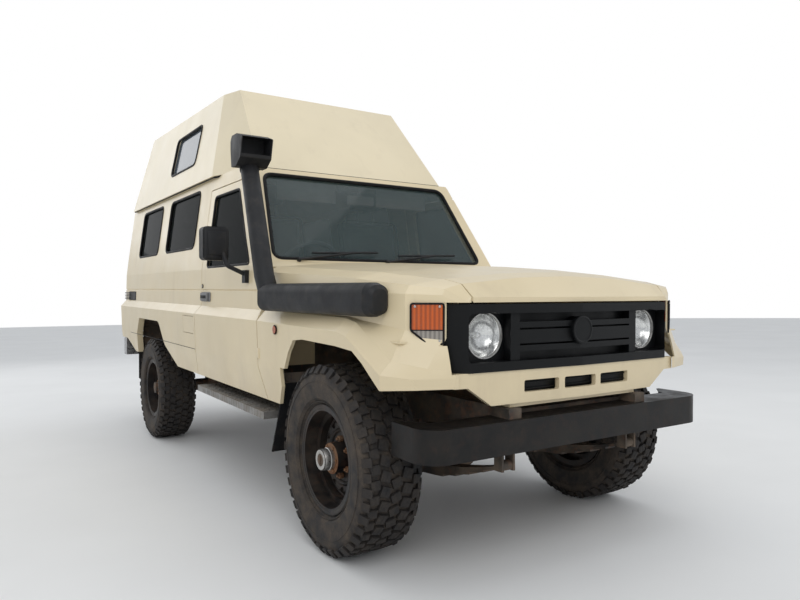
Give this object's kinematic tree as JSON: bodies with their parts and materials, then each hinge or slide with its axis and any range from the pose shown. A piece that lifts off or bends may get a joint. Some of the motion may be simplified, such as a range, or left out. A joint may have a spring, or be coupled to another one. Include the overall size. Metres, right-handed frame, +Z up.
{
  "type": "lifted off-road 4x4 with a high roof",
  "caption": "Long-wheelbase off-road wagon with a moulded high roof, raised air intake, steered front wheels, opening doors and bonnet, and a spare wheel on the tail.",
  "frame": {"origin": "on the floor, at the middle of the bounding box, which a mirror on one side only sets beside the vehicle's centre plane", "axes": "+X to the vehicle's left, -Y forwards, +Z up"},
  "size_m": [1.86, 4.894, 2.5086],
  "materials": {
    "body_paint": "cream enamel, worn",
    "roof_paint": "cream gel coat",
    "window_glass": "tinted",
    "black_plastic": "moulded, satin",
    "bumper_black": "black paint, scuffed",
    "rear_chrome": "dull chrome",
    "tyre_rubber": "dusty",
    "wheel_steel": "black paint, dusty",
    "frame_steel": "black paint, dusty and rusty",
    "cast_metal": "dusty and rusty",
    "headlamp_glass": "clear lens in a chrome ring",
    "amber_lens": "moulded lens",
    "red_lens": "moulded lens",
    "flap_rubber": "black sheet",
    "step_aluminium": "chequer plate, dusty",
    "cab_plastic": "grained",
    "seat_fabric": "woven cloth"
  },
  "bodies": {
    "main": {"body_sides": "body_paint", "body_tail": "body_paint", "chassis_frame": "frame_steel", "dashboard": "cab_plastic", "exhaust": "frame_steel", "floor_pan": "frame_steel", "front_axle": "cast_metal", "front_bumper": "bumper_black", "front_panel": "body_paint", "front_wings": "body_paint", "fuel_flap": "body_paint", "fuel_tank": "frame_steel", "grille": "black_plastic", "headlamps": "headlamp_glass", "high_roof": "roof_paint", "leaf_springs": "frame_steel", "mud_flaps": "flap_rubber", "powertrain": "cast_metal", "prop_shafts": "frame_steel", "quarter_glass": "window_glass", "rear_axle": "cast_metal", "rear_bumpers": "rear_chrome", "roof_glass": "window_glass", "seats": "seat_fabric", "shock_absorbers": "frame_steel", "side_steps": "step_aluminium", "side_vents": "black_plastic", "signal_lamps": "amber_lens", "snorkel": "black_plastic", "steering_wheel": "cab_plastic", "tail_lamps": "red_lens", "windscreen_frame": "body_paint", "windscreen_glass": "window_glass", "wipers": "black_plastic"},
    "knuckle_right_turn": {"knuckle_right": "cast_metal"},
    "knuckle_left_turn": {"knuckle_left": "cast_metal"},
    "tie_rod_swing": {"tie_rod": "frame_steel"},
    "wheel_front_right": {"rim_front_right": "wheel_steel", "tyre_front_right": "tyre_rubber"},
    "wheel_front_left": {"rim_front_left": "wheel_steel", "tyre_front_left": "tyre_rubber"},
    "wheel_rear_right": {"rim_rear_right": "wheel_steel", "tyre_rear_right": "tyre_rubber"},
    "wheel_rear_left": {"rim_rear_left": "wheel_steel", "tyre_rear_left": "tyre_rubber"},
    "front_door_right": {"door_right": "body_paint", "door_glass_right": "window_glass", "mirror_right": "black_plastic"},
    "front_door_left": {"door_left": "body_paint", "door_glass_left": "window_glass"},
    "back_door_right": {"rear_door_right": "body_paint", "rear_glass_right": "window_glass", "spare_tyre": "tyre_rubber", "spare_rim": "wheel_steel"},
    "back_door_left": {"rear_door_left": "body_paint", "rear_glass_left": "window_glass"},
    "bonnet_lid": {"bonnet": "body_paint"}
  },
  "joints": [
    {"name": "steer_right", "type": "hinge", "parent": "main", "child": "knuckle_right_turn", "pos_m": [-0.487, -1.79652, 0.382], "axis": [0, 0, 1], "range_deg": [-30, 30]},
    {"name": "steer_left", "type": "hinge", "parent": "main", "child": "knuckle_left_turn", "pos_m": [0.643, -1.79652, 0.382], "axis": [0, 0, 1], "range_deg": [-30, 30]},
    {"name": "tie_rod_hinge", "type": "hinge", "parent": "knuckle_right_turn", "child": "tie_rod_swing", "pos_m": [-0.487, -1.60652, 0.367], "axis": [0, 0, 1], "range_deg": [-30, 30]},
    {"name": "spin_front_right", "type": "hinge", "parent": "knuckle_right_turn", "child": "wheel_front_right", "pos_m": [-0.622, -1.79652, 0.382], "axis": [1, 0, 0], "continuous": true},
    {"name": "spin_front_left", "type": "hinge", "parent": "knuckle_left_turn", "child": "wheel_front_left", "pos_m": [0.778, -1.79652, 0.382], "axis": [1, 0, 0], "continuous": true},
    {"name": "spin_rear_right", "type": "hinge", "parent": "main", "child": "wheel_rear_right", "pos_m": [-0.614, 1.18348, 0.382], "axis": [1, 0, 0], "continuous": true},
    {"name": "spin_rear_left", "type": "hinge", "parent": "main", "child": "wheel_rear_left", "pos_m": [0.77, 1.18348, 0.382], "axis": [1, 0, 0], "continuous": true},
    {"name": "door_right_hinge", "type": "hinge", "parent": "main", "child": "front_door_right", "pos_m": [-0.77, -1.17769, 1.01768], "axis": [0, -0.0279, 0.9996], "range_deg": [0, 70]},
    {"name": "door_left_hinge", "type": "hinge", "parent": "main", "child": "front_door_left", "pos_m": [0.926, -1.17769, 1.01768], "axis": [0, 0.0279, -0.9996], "range_deg": [0, 70]},
    {"name": "back_door_right_hinge", "type": "hinge", "parent": "main", "child": "back_door_right", "pos_m": [-0.627, 2.16021, 1.21095], "axis": [0, -0.0279, 0.9996], "range_deg": [0, 90]},
    {"name": "back_door_left_hinge", "type": "hinge", "parent": "main", "child": "back_door_left", "pos_m": [0.783, 2.16021, 1.21095], "axis": [0, 0.0279, -0.9996], "range_deg": [0, 90]},
    {"name": "bonnet_hinge", "type": "hinge", "parent": "main", "child": "bonnet_lid", "pos_m": [0.078, -1.08382, 1.23838], "axis": [-1, 0, 0], "range_deg": [0, 50]}
  ],
  "couplings": [
    {"joint": "steer_left", "follows": "steer_right", "ratio": 1},
    {"joint": "tie_rod_hinge", "follows": "steer_right", "ratio": -1}
  ]
}
